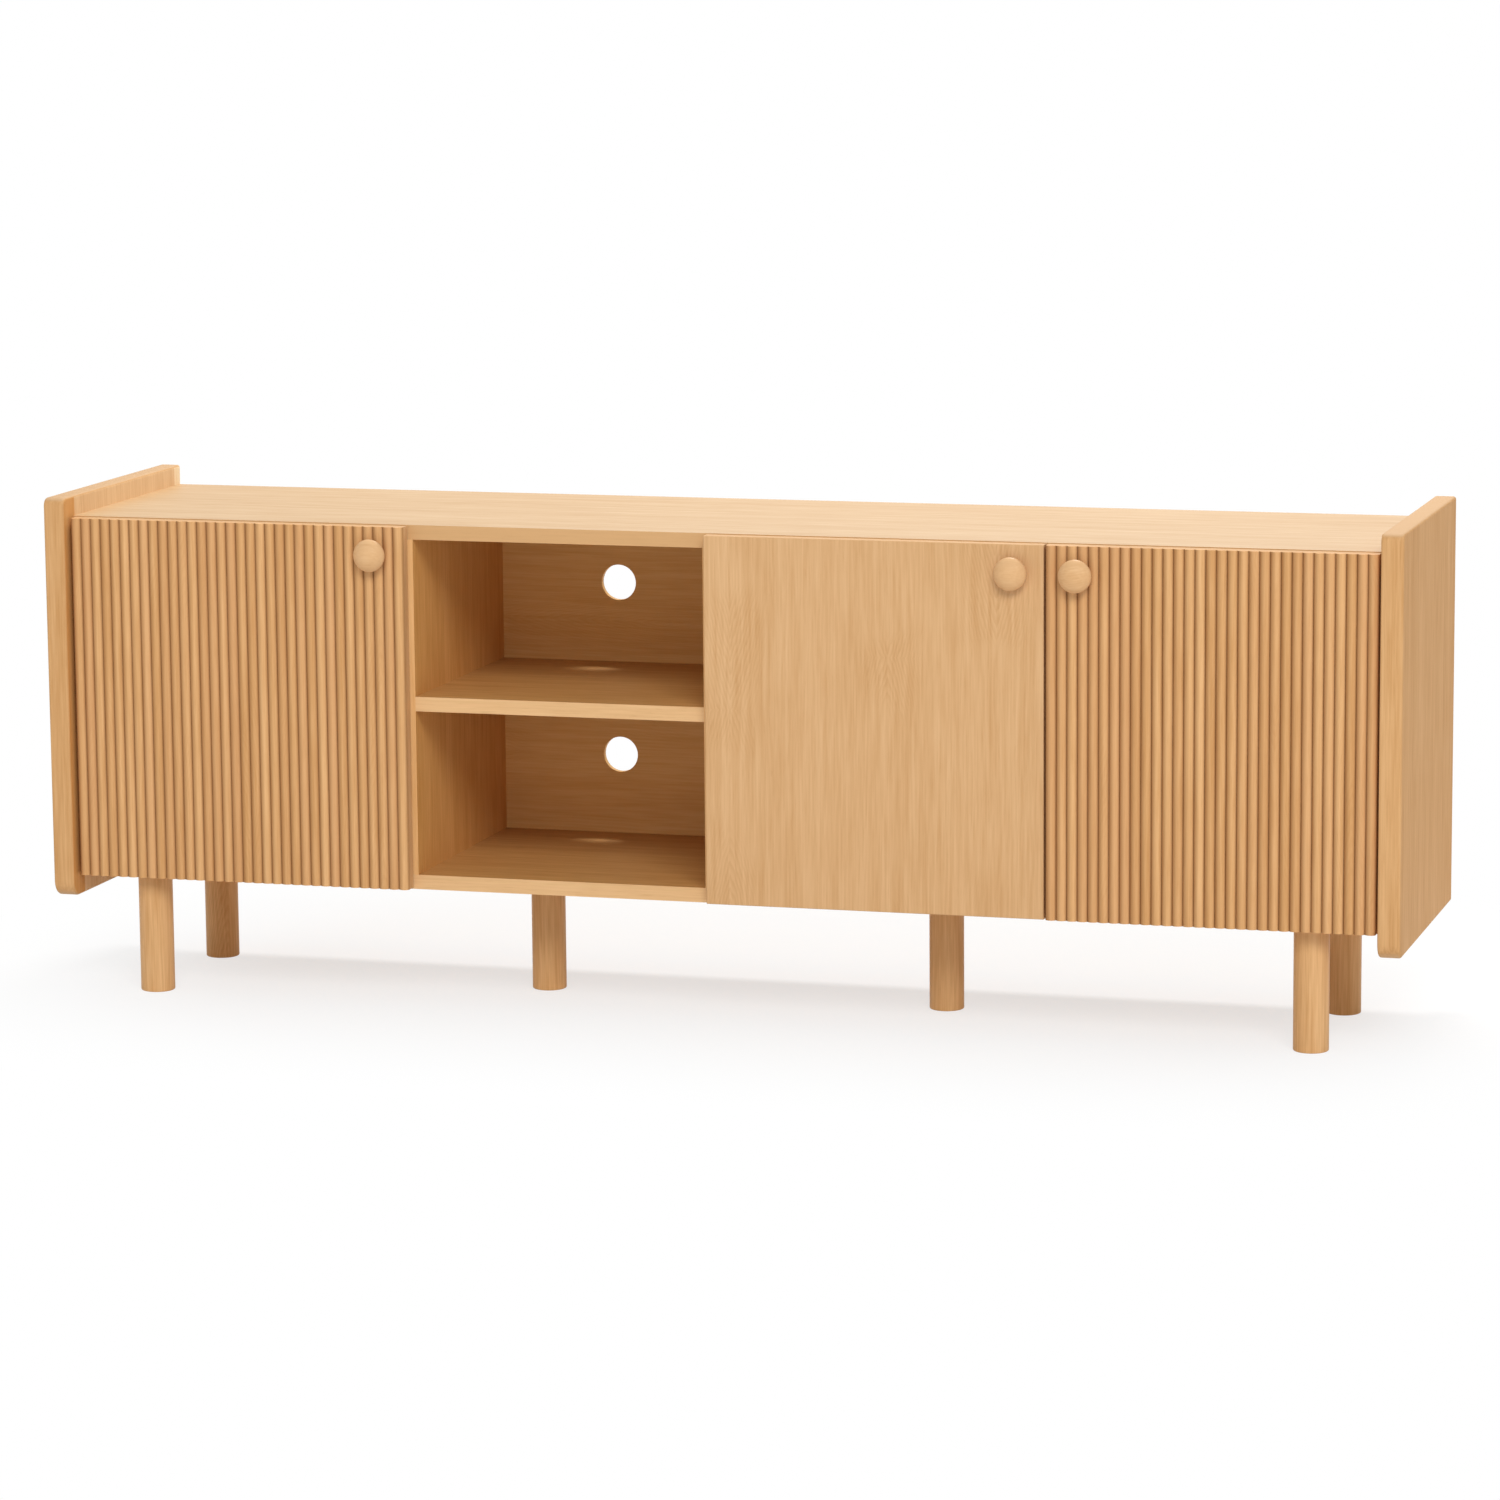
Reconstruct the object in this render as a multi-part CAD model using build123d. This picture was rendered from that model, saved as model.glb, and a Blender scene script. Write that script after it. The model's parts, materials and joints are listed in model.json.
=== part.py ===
from build123d import *
import os

# Media cabinet: x runs along the width, -y is the front, +z is up, z = 0 is the floor.

# Overall sizes
WIDTH = 1700.0
SIDE_DEPTH = 384.0
CARCASS_HEIGHT = 453.0
LEG_HEIGHT = 149.0

# Side panels
SIDE_THICK = 27.0
LIP_TOP = 25.0
LIP_BOTTOM = 25.0
SIDE_TOP_ROUND = 10.0
SIDE_FOOT_ROUND = 20.0
SIDE_EDGE_ROUND = 3.5

# Carcass boards
BOARD = 18.0
FRONT_SETBACK = 32.0
REAR_SETBACK = 2.0
BACK_THICK = 8.0
BACK_RECESS = 2.0
REBATE_HEIGHT = 9.0
BACK_JOIN_GAP = 0.5

# Bays, from left to right; the right bay takes what is left
LEFT_BAY = 429.0
OPEN_BAY = 370.0
FLAT_BAY = 400.0
FIXED_SHELF_RISE = 222.5
CABLE_HOLE = 45.5
CABLE_INSET = 156.0
CABLE_RISE = 102.0

# Loose shelves and their cleats
SHELF_SIDE_GAP = 1.0
SHELF_SETBACK = 24.0
SHELF_REAR_GAP = 3.0
LOOSE_SHELF_RISE = 222.0
CLEAT = 12.0
CLEAT_LENGTH = 240.0

# Doors
DOOR_THICK = 16.0
DOOR_BACK_GAP = 2.0
TOP_REVEAL = 1.0
BOTTOM_REVEAL = 2.0
SIDE_GAP = 4.0
DIVIDER_REVEAL = 6.5
MEET_GAP = 2.5
REED_PITCH = 12.8
REED_RISE = 4.0
FACING_BASE = 3.5
DOOR_EDGE_EASE = 0.8

# Knobs
KNOB_DIAMETER = 40.0
KNOB_PROJECTION = 24.0
KNOB_NECK = 18.0
KNOB_NECK_LENGTH = 6.0
KNOB_RIM_BACK = 9.0
KNOB_RIM_FRONT = 12.5
KNOB_DROP = 34.0
KNOB_INSET = 38.4

# Concealed hinges
HINGE_EDGE = 90.0
CUP_INSET = 22.5
CUP_DIAMETER = 35.0
CUP_SKIN = 2.0
CUP_DEPTH = min(10.5, DOOR_THICK - FACING_BASE - CUP_SKIN)
CUP_WALL = 1.0
CUP_FLANGE = 1.2
CUP_WING_SPAN = 60.0
CUP_WING_WIDTH = 36.0
CUP_WING_EASE = 8.0
ARM_STRIP = 2.5
ARM_HEIGHT = 16.0
ARM_NOSE_INSET = 26.5
ARM_NOSE_DIP = 4.0
ARM_BEND_NEAR = 12.0
ARM_BEND_FAR = 30.0
ARM_TAIL = 62.0
PLATE_STAND = 4.75
PLATE_BASE = 2.0
PLATE_SPAN = 46.0
PLATE_WING_INSET = 6.0

# Legs
LEG_DIAMETER = 42.8
LEG_FOOT_EASE = 1.5
CORNER_LEG_INSET = 114.0
FRONT_LEG_INSET = 56.0
REAR_LEG_INSET = 107.0
MIDDLE_LEG_SPAN = 516.0
MIDDLE_LEG_INSET = 184.0
LEG_BOLT = 8.0
LEG_BOLT_UP = 13.0
LEG_BOLT_DOWN = 35.0

# Loose tenons between the boards
TENON_THICK = 8.0
TENON_WIDTH = 40.0
TENON_SHALLOW = 11.0
TENON_DEEP = 22.0
TENON_EDGE = 50.0

# Door bumpers
BUMPER_SIZE = 6.0
BUMPER_HEIGHT = 1.7
BUMPER_EDGE = 45.0

# Clearances
HOLE_FIT = 0.1
HOLE_END = 0.5

# Heights
CARCASS_Z = LEG_HEIGHT
TOP_Z = CARCASS_Z + CARCASS_HEIGHT
INNER_LOW = CARCASS_Z + BOARD
INNER_HIGH = TOP_Z - BOARD
DOOR_LOW = CARCASS_Z + BOTTOM_REVEAL
DOOR_HIGH = TOP_Z - TOP_REVEAL
FIXED_SHELF_Z = CARCASS_Z + FIXED_SHELF_RISE
LOOSE_SHELF_Z = CARCASS_Z + LOOSE_SHELF_RISE

# Depths: the knobs reach further forward than the side panels
CROWN_RECESS = FRONT_SETBACK - DOOR_BACK_GAP - DOOR_THICK - REED_RISE
KNOB_OVERHANG = KNOB_PROJECTION - CROWN_RECESS
SIDE_FRONT = (KNOB_OVERHANG - SIDE_DEPTH) / 2
SIDE_REAR = SIDE_FRONT + SIDE_DEPTH
FRONT = SIDE_FRONT + FRONT_SETBACK
REAR = SIDE_REAR - REAR_SETBACK
BACK_REAR = REAR - BACK_RECESS
BACK_FRONT = BACK_REAR - BACK_THICK
DOOR_BACK = FRONT - DOOR_BACK_GAP
DOOR_FACE = DOOR_BACK - DOOR_THICK
CROWN = DOOR_FACE - REED_RISE

# Widths
OUTER = WIDTH / 2
INNER = OUTER - SIDE_THICK
DIVIDER_LEFT = -INNER + LEFT_BAY
DIVIDER_MIDDLE = DIVIDER_LEFT + BOARD + OPEN_BAY
DIVIDER_RIGHT = DIVIDER_MIDDLE + BOARD + FLAT_BAY
DIVIDERS = {
    "divider_left": DIVIDER_LEFT,
    "divider_middle": DIVIDER_MIDDLE,
    "divider_right": DIVIDER_RIGHT,
}
MEET = DIVIDER_RIGHT + BOARD / 2
LEFT_DOOR = (-INNER + SIDE_GAP, DIVIDER_LEFT + BOARD - DIVIDER_REVEAL)
FLAT_DOOR = (DIVIDER_MIDDLE + DIVIDER_REVEAL, MEET - MEET_GAP / 2)
RIGHT_DOOR = (MEET + MEET_GAP / 2, INNER - SIDE_GAP)
LOOSE_BAYS = {
    "left": (-INNER, DIVIDER_LEFT),
    "middle": (DIVIDER_MIDDLE + BOARD, DIVIDER_RIGHT),
    "right": (DIVIDER_RIGHT + BOARD, INNER),
}

# Rows of fittings along the depth
TENON_ROWS = (FRONT + TENON_EDGE, BACK_FRONT - TENON_EDGE)
HINGE_ROWS = (DOOR_LOW + HINGE_EDGE, DOOR_HIGH - HINGE_EDGE)
KNOB_Z = DOOR_HIGH - KNOB_DROP

FORWARD = (0, -1, 0)
BACKWARD = (0, 1, 0)
UPWARD = (0, 0, 1)


def block(x, y, z):
    """A box between three pairs of limits."""
    size = Box(x[1] - x[0], y[1] - y[0], z[1] - z[0])
    return Pos((x[0] + x[1]) / 2, (y[0] + y[1]) / 2, (z[0] + z[1]) / 2) * size


def rod(start, direction, diameter, length):
    """A cylinder that leaves a point in a direction."""
    base = Plane(origin=start, z_dir=direction)
    low = (Align.CENTER, Align.CENTER, Align.MIN)
    return base * Cylinder(diameter / 2, length, align=low)


def crossing(point, direction, diameter, behind, ahead):
    """A cylinder that crosses a joint face, with its reach on either side."""
    start = Vector(*point) - Vector(*direction) * behind
    return rod(tuple(start), direction, diameter, behind + ahead)


def cut(body, tools):
    """Takes every tool out of a body."""
    for tool in tools:
        body = body - tool
    return body


def side_joints():
    """Points where the top and bottom boards meet the side panels, with the way into the board."""
    middles = (CARCASS_Z + BOARD / 2, TOP_Z - BOARD / 2)
    return [
        ((side * INNER, y, z), (-side, 0, 0))
        for side in (-1, 1)
        for z in middles
        for y in TENON_ROWS
    ]


def divider_joints():
    """Points where the dividers meet the top and bottom boards, with the way into the divider."""
    return [
        ((left + BOARD / 2, y, z), (0, 0, way))
        for left in DIVIDERS.values()
        for z, way in ((INNER_LOW, 1), (INNER_HIGH, -1))
        for y in TENON_ROWS
    ]


def shelf_joints():
    """Points where the fixed shelf meets its two dividers, with the way into the shelf."""
    ends = ((DIVIDER_LEFT + BOARD, 1), (DIVIDER_MIDDLE, -1))
    z = FIXED_SHELF_Z + BOARD / 2
    return [((x, y, z), (way, 0, 0)) for x, way in ends for y in TENON_ROWS]


def tenon(point, direction, side=0.0, end=0.0):
    """A loose tenon across a joint face, or its mortises if given a clearance."""
    x, y, z = point
    way = sum(direction)
    half = TENON_THICK / 2 + side
    wide = TENON_WIDTH / 2 + side
    along = sorted((-way * (TENON_SHALLOW + end), way * (TENON_DEEP + end)))
    if direction[0]:
        return block((x + along[0], x + along[1]), (y - wide, y + wide), (z - half, z + half))
    return block((x - half, x + half), (y - wide, y + wide), (z + along[0], z + along[1]))


def tenons():
    """Every loose tenon of the carcass."""
    return [tenon(p, d) for p, d in side_joints() + divider_joints() + shelf_joints()]


def mortises(joints):
    """Mortises for the tenons of some joints."""
    return [tenon(p, d, HOLE_FIT, HOLE_END) for p, d in joints]


def shelf_cleats():
    """Square battens on the walls of the closed bays, under the loose shelves."""
    y = (BACK_FRONT - SHELF_REAR_GAP - CLEAT_LENGTH, BACK_FRONT - SHELF_REAR_GAP)
    z = (LOOSE_SHELF_Z - CLEAT, LOOSE_SHELF_Z)
    sides = [(low, low + CLEAT) for low, _ in LOOSE_BAYS.values()]
    sides += [(high - CLEAT, high) for _, high in LOOSE_BAYS.values()]
    return [block(x, y, z) for x in sides]


def leg_points():
    """Leg axes by name."""
    corner = OUTER - CORNER_LEG_INSET
    front = SIDE_FRONT + FRONT_LEG_INSET
    rear = SIDE_REAR - REAR_LEG_INSET
    middle = SIDE_FRONT + MIDDLE_LEG_INSET
    return {
        "leg_front_left": (-corner, front),
        "leg_front_right": (corner, front),
        "leg_rear_left": (-corner, rear),
        "leg_rear_right": (corner, rear),
        "leg_middle_left": (-MIDDLE_LEG_SPAN / 2, middle),
        "leg_middle_right": (MIDDLE_LEG_SPAN / 2, middle),
    }


def leg_bolts(grow=0.0):
    """Hanger bolts between legs and bottom board, or their holes."""
    end = HOLE_END if grow else 0
    width = LEG_BOLT + 2 * grow
    return [
        crossing((x, y, CARCASS_Z), UPWARD, width, LEG_BOLT_DOWN + end, LEG_BOLT_UP + end)
        for x, y in leg_points().values()
    ]


def leg(x, y):
    """A plain round leg with an eased foot and a bolt hole in its head."""
    body = rod((x, y, 0), UPWARD, LEG_DIAMETER, LEG_HEIGHT)
    body = chamfer(body.edges().sort_by(Axis.Z)[0], LEG_FOOT_EASE)
    hole = crossing(
        (x, y, CARCASS_Z), UPWARD, LEG_BOLT + 2 * HOLE_FIT, LEG_BOLT_DOWN + HOLE_END, 1
    )
    return body - hole


def side_panel(side):
    """A thick side panel with rounded front corners and eased edges."""
    low = CARCASS_Z - LIP_BOTTOM
    high = TOP_Z + LIP_TOP
    start = -OUTER if side < 0 else INNER
    panel = block((start, start + SIDE_THICK), (SIDE_FRONT, SIDE_REAR), (low, high))
    panel = fillet(pick_corner(panel, SIDE_FRONT, low), SIDE_FOOT_ROUND)
    panel = fillet(pick_corner(panel, SIDE_FRONT, high), SIDE_TOP_ROUND)
    outlines = [face.outer_wire().edges() for face in panel.faces().filter_by(Axis.X)]
    eased = [e for outline in outlines for e in outline if e.center().Y < SIDE_REAR - 1]
    panel = fillet(eased, SIDE_EDGE_ROUND)
    here = [(p, d) for p, d in side_joints() if p[0] * side > 0]
    return cut(panel, mortises(here))


def pick_corner(panel, y, z):
    """The edge along x at a corner of a panel."""
    edges = panel.edges().filter_by(Axis.X)
    return min(edges, key=lambda e: abs(e.center().Y - y) + abs(e.center().Z - z))


def top_board():
    """The top board, rebated along its rear for the back panels."""
    board = block((-INNER, INNER), (FRONT, REAR), (INNER_HIGH, TOP_Z))
    rebate = block((-INNER, INNER), (BACK_FRONT, REAR), (INNER_HIGH, TOP_Z - REBATE_HEIGHT))
    joints = [(p, d) for p, d in side_joints() + divider_joints() if p[2] >= INNER_HIGH]
    return cut(board - rebate, mortises(joints))


def bottom_board():
    """The bottom board, rebated like the top board, with the leg bolt holes."""
    board = block((-INNER, INNER), (FRONT, REAR), (CARCASS_Z, INNER_LOW))
    rebate = block((-INNER, INNER), (BACK_FRONT, REAR), (CARCASS_Z + REBATE_HEIGHT, INNER_LOW))
    joints = [(p, d) for p, d in side_joints() + divider_joints() if p[2] <= INNER_LOW]
    return cut(board - rebate, mortises(joints) + leg_bolts(HOLE_FIT))


def divider(left):
    """An upright divider between bottom and top board."""
    right = left + BOARD
    board = block((left, right), (FRONT, BACK_FRONT), (INNER_LOW, INNER_HIGH))
    joints = [(p, d) for p, d in divider_joints() + shelf_joints() if left <= p[0] <= right]
    return cut(board, mortises(joints))


def fixed_shelf():
    """The shelf of the open bay."""
    x = (DIVIDER_LEFT + BOARD, DIVIDER_MIDDLE)
    board = block(x, (FRONT, BACK_FRONT), (FIXED_SHELF_Z, FIXED_SHELF_Z + BOARD))
    return cut(board, mortises(shelf_joints()))


def loose_shelf(bay):
    """A shelf of a closed bay, lying on its cleats."""
    x = (bay[0] + SHELF_SIDE_GAP, bay[1] - SHELF_SIDE_GAP)
    y = (FRONT + SHELF_SETBACK, BACK_FRONT - SHELF_REAR_GAP)
    return block(x, y, (LOOSE_SHELF_Z, LOOSE_SHELF_Z + BOARD))


def back_panel(left, right):
    """A thin back panel in the rebates of top and bottom board."""
    z = (CARCASS_Z + REBATE_HEIGHT, TOP_Z - REBATE_HEIGHT)
    return block((left, right), (BACK_FRONT, BACK_REAR), z)


def cable_points():
    """Centres of the cable holes, left of the middle and at one height above each floor."""
    x = DIVIDER_LEFT + BOARD + CABLE_INSET
    floors = (INNER_LOW, FIXED_SHELF_Z + BOARD)
    return [(x, BACK_FRONT - 1, floor + CABLE_RISE) for floor in floors]


def reed_count(width):
    """How many whole reeds cover a door."""
    return max(1, round(width / REED_PITCH))


def knob_x(door, hinge_left, reeded):
    """Knob position: in from the free edge, on a groove if the door is reeded."""
    inset = KNOB_INSET
    if reeded:
        pitch = (door[1] - door[0]) / reed_count(door[1] - door[0])
        inset = round(KNOB_INSET / pitch) * pitch
    return door[1] - inset if hinge_left else door[0] + inset


def cup_x(door, hinge_left):
    """Middle of the hinge cups."""
    return door[0] + CUP_INSET if hinge_left else door[1] - CUP_INSET


def cup_pockets(door, hinge_left):
    """Round pockets for the hinge cups, sunk from the back of a door."""
    x = cup_x(door, hinge_left)
    width = CUP_DIAMETER + 2 * HOLE_FIT
    return [rod((x, DOOR_BACK, z), FORWARD, width, CUP_DEPTH + HOLE_END) for z in HINGE_ROWS]


def flat_slab(door, hinge_left):
    """The flat door, its front edges eased."""
    slab = block(door, (DOOR_FACE, DOOR_BACK), (DOOR_LOW, DOOR_HIGH))
    slab = chamfer(slab.faces().sort_by(Axis.Y)[0].edges(), DOOR_EDGE_EASE)
    return cut(slab, cup_pockets(door, hinge_left))


def reeded_slab(door, hinge_left):
    """The plain slab behind a reeded facing."""
    slab = block(door, (DOOR_FACE + FACING_BASE, DOOR_BACK), (DOOR_LOW, DOOR_HIGH))
    return cut(slab, cup_pockets(door, hinge_left))


def reeded_facing(door):
    """Half-round vertical reeds, side by side on a thin base."""
    left, right = door
    count = reed_count(right - left)
    pitch = (right - left) / count
    rear = DOOR_FACE + FACING_BASE
    arcs = [
        ThreePointArc(
            (left + i * pitch, DOOR_FACE),
            (left + (i + 0.5) * pitch, CROWN),
            (left + (i + 1) * pitch, DOOR_FACE),
        )
        for i in range(count)
    ]
    base = Polyline((right, DOOR_FACE), (right, rear), (left, rear), (left, DOOR_FACE))
    outline = make_face(arcs + list(base.edges()))
    return extrude(Pos(0, 0, DOOR_LOW) * outline, DOOR_HIGH - DOOR_LOW, UPWARD)


def knob(x, seat):
    """A full domed knob on a short neck."""
    rim = KNOB_DIAMETER / 2
    neck = KNOB_NECK / 2
    lines = [
        Line((0, 0), (neck, 0)),
        Line((neck, 0), (neck, KNOB_NECK_LENGTH)),
        Line((neck, KNOB_NECK_LENGTH), (rim, KNOB_RIM_BACK)),
        Line((rim, KNOB_RIM_BACK), (rim, KNOB_RIM_FRONT)),
        TangentArc((0, KNOB_PROJECTION), (rim, KNOB_RIM_FRONT), tangent=(1, 0)),
        Line((0, KNOB_PROJECTION), (0, 0)),
    ]
    body = revolve(make_face(lines), Axis.Y)
    return Pos(x, seat, KNOB_Z) * Rot(180, 0, 0) * body


def hinge_cups(door, hinge_left):
    """Steel cups let into the back of a door, with screw wings."""
    cups = []
    x = cup_x(door, hinge_left)
    for z in HINGE_ROWS:
        cup = rod((x, DOOR_BACK, z), FORWARD, CUP_DIAMETER, CUP_DEPTH)
        wing = block(
            (x - CUP_WING_WIDTH / 2, x + CUP_WING_WIDTH / 2),
            (DOOR_BACK, DOOR_BACK + CUP_FLANGE),
            (z - CUP_WING_SPAN / 2, z + CUP_WING_SPAN / 2),
        )
        wing = chamfer(wing.edges().filter_by(Axis.Y), CUP_WING_EASE)
        hollow = crossing(
            (x, DOOR_BACK, z), FORWARD, CUP_DIAMETER - 2 * CUP_WALL, CUP_FLANGE + 1, CUP_DEPTH - CUP_WALL
        )
        cups.append(cup + wing - hollow)
    return cups


def hinge_arms(edge, wall, way):
    """Cranked steel arms that dip into the cups."""
    foot = wall + way * (PLATE_STAND + ARM_STRIP / 2)
    nose = edge + way * ARM_NOSE_INSET
    path = Polyline(
        (foot, DOOR_BACK + ARM_TAIL),
        (foot, DOOR_BACK + ARM_BEND_FAR),
        (nose, DOOR_BACK + ARM_BEND_NEAR),
        (nose, DOOR_BACK - ARM_NOSE_DIP),
    )
    strip = trace(path, ARM_STRIP)
    return [
        extrude(Pos(0, 0, z - ARM_HEIGHT / 2) * strip, ARM_HEIGHT, UPWARD) for z in HINGE_ROWS
    ]


def hinge_plates(wall, way):
    """Mounting plates on the wall of the cabinet, under the tails of the arms."""
    plates = []
    stand = sorted((wall, wall + way * PLATE_STAND))
    base = sorted((wall, wall + way * PLATE_BASE))
    near_end = DOOR_BACK + ARM_BEND_FAR + ARM_STRIP
    far_end = DOOR_BACK + ARM_TAIL
    for z in HINGE_ROWS:
        rail = block(stand, (near_end, far_end), (z - ARM_HEIGHT / 2, z + ARM_HEIGHT / 2))
        wings = block(
            base,
            (near_end + PLATE_WING_INSET, far_end - PLATE_WING_INSET),
            (z - PLATE_SPAN / 2, z + PLATE_SPAN / 2),
        )
        plates.append(rail + wings)
    return plates


def door_bumpers():
    """Small bumpers on the front edges of the dividers, behind each free edge."""
    seats = (
        (DIVIDER_LEFT + LEFT_DOOR[1]) / 2,
        (DIVIDER_RIGHT + FLAT_DOOR[1]) / 2,
        (RIGHT_DOOR[0] + DIVIDER_RIGHT + BOARD) / 2,
    )
    rows = (DOOR_LOW + BUMPER_EDGE, DOOR_HIGH - BUMPER_EDGE)
    half = BUMPER_SIZE / 2
    deep = (FRONT - BUMPER_HEIGHT, FRONT)
    return [block((x - half, x + half), deep, (z - half, z + half)) for x in seats for z in rows]


def carcass_nodes():
    """Boards, shelves, back panels, legs and their fittings."""
    nodes = {
        "side_panel_left": side_panel(-1),
        "side_panel_right": side_panel(1),
        "top_board": top_board(),
        "bottom_board": bottom_board(),
        "open_shelf": fixed_shelf(),
        "loose_tenons": tenons(),
        "shelf_cleats": shelf_cleats(),
        "leg_bolts": leg_bolts(),
        "door_bumpers": door_bumpers(),
    }
    for name, left in DIVIDERS.items():
        nodes[name] = divider(left)
    for name, bay in LOOSE_BAYS.items():
        nodes["loose_shelf_" + name] = loose_shelf(bay)
    for name, (x, y) in leg_points().items():
        nodes[name] = leg(x, y)
    first = DIVIDER_LEFT + BOARD / 2
    second = DIVIDER_MIDDLE + BOARD / 2
    half = BACK_JOIN_GAP / 2
    nodes["back_panel_left"] = back_panel(-INNER, first - half)
    nodes["back_panel_right"] = back_panel(second + half, INNER)
    holes = [rod(c, BACKWARD, CABLE_HOLE, BACK_THICK + 2) for c in cable_points()]
    nodes["back_panel_open"] = cut(back_panel(first + half, second - half), holes)
    return nodes


def door_nodes(name, door, hinge_left, wall, reeded):
    """One door with its knob and both halves of its hinges."""
    way = 1 if hinge_left else -1
    edge = door[0] if hinge_left else door[1]
    seat = CROWN if reeded else DOOR_FACE
    x = knob_x(door, hinge_left, reeded)
    nodes = {
        name + "_knob": knob(x, seat),
        name + "_hinge_cups": hinge_cups(door, hinge_left),
        name + "_hinge_arms": hinge_arms(edge, wall, way),
        name + "_hinge_plates": hinge_plates(wall, way),
    }
    if reeded:
        nodes[name + "_slab"] = reeded_slab(door, hinge_left)
        nodes[name + "_reeded_facing"] = reeded_facing(door)
    else:
        nodes[name + "_slab"] = flat_slab(door, hinge_left)
    return nodes


def main():
    """Builds every node and writes it to the parts folder."""
    nodes = carcass_nodes()
    nodes.update(door_nodes("left_door", LEFT_DOOR, True, -INNER, True))
    nodes.update(door_nodes("middle_door", FLAT_DOOR, True, DIVIDER_MIDDLE + BOARD, False))
    nodes.update(door_nodes("right_door", RIGHT_DOOR, False, INNER, True))
    os.makedirs("parts", exist_ok=True)
    for name, shape in nodes.items():
        if isinstance(shape, list):
            shape = Compound(children=[Part(s.wrapped) for s in shape])
        export_step(shape, "parts/" + name + ".step")


if __name__ == "__main__":
    main()
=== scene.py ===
"""Looks of the media cabinet: oak finishes, shaped pieces, screws, floor, light and camera."""

import json
import logging
import math
from collections.abc import Callable, Mapping, Sequence
from dataclasses import dataclass, field, replace
from enum import Enum

import bmesh
import bpy
from mathutils import Matrix, Vector

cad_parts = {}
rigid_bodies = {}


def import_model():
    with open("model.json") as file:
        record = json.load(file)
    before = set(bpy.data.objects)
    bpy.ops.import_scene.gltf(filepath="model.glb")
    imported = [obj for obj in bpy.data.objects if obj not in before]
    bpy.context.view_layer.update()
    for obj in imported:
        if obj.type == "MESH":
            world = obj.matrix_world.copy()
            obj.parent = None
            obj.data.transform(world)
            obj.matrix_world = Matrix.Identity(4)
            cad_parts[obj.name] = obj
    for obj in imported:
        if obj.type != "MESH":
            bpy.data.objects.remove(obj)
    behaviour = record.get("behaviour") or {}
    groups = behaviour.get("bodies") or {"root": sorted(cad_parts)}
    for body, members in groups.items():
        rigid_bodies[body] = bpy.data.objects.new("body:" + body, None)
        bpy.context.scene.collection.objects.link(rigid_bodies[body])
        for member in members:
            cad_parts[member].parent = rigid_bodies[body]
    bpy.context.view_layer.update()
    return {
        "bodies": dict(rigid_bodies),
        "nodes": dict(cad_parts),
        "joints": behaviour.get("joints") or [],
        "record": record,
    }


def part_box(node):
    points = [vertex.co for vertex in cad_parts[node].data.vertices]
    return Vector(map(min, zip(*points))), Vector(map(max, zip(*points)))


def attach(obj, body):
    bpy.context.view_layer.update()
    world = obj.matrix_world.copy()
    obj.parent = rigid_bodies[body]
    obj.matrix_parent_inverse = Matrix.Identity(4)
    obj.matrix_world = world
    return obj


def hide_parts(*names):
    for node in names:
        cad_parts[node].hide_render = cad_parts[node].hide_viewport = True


LOG = logging.getLogger("media_cabinet")
CABINET = "cabinet"
MM = 0.001
# Half the blur of a line where two veneers meet.
SEAM = 0.3 * MM
# How squarely a surface faces along an axis where it starts, and where it fully counts as square to it.
SQUARE = (0.5, 0.9)
# Tones at which the wood has its dark and its light colour.
TONES = (-0.05, 1.05)

Colour = tuple[float, float, float, float]
WHITE: Colour = (1.0, 1.0, 1.0, 1.0)


def tint(red: int, green: int, blue: int) -> Colour:
    """Linear colour of an sRGB triple of 0 to 255.

    Args:
        red: Red part.
        green: Green part.
        blue: Blue part.

    Returns:
        The colour as Blender's sockets take it.
    """

    def linear(part: int) -> float:
        """Linear share of one part."""
        share = part / 255
        return share / 12.92 if share <= 0.04045 else ((share + 0.055) / 1.055) ** 2.4

    return (linear(red), linear(green), linear(blue), 1.0)


class Axis(Enum):
    """An axis of the shared frame."""

    X = 0
    Y = 1
    Z = 2


class Slot(Enum):
    """Material slots of the record, one for each kind of new piece."""

    SIDES = "oak_sides"
    REEDS = "oak_reeds"
    LEGS = "oak_legs"
    KNOBS = "oak_knobs"
    ZINC = "zinc_steel"
    NICKEL = "nickel_steel"


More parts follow.
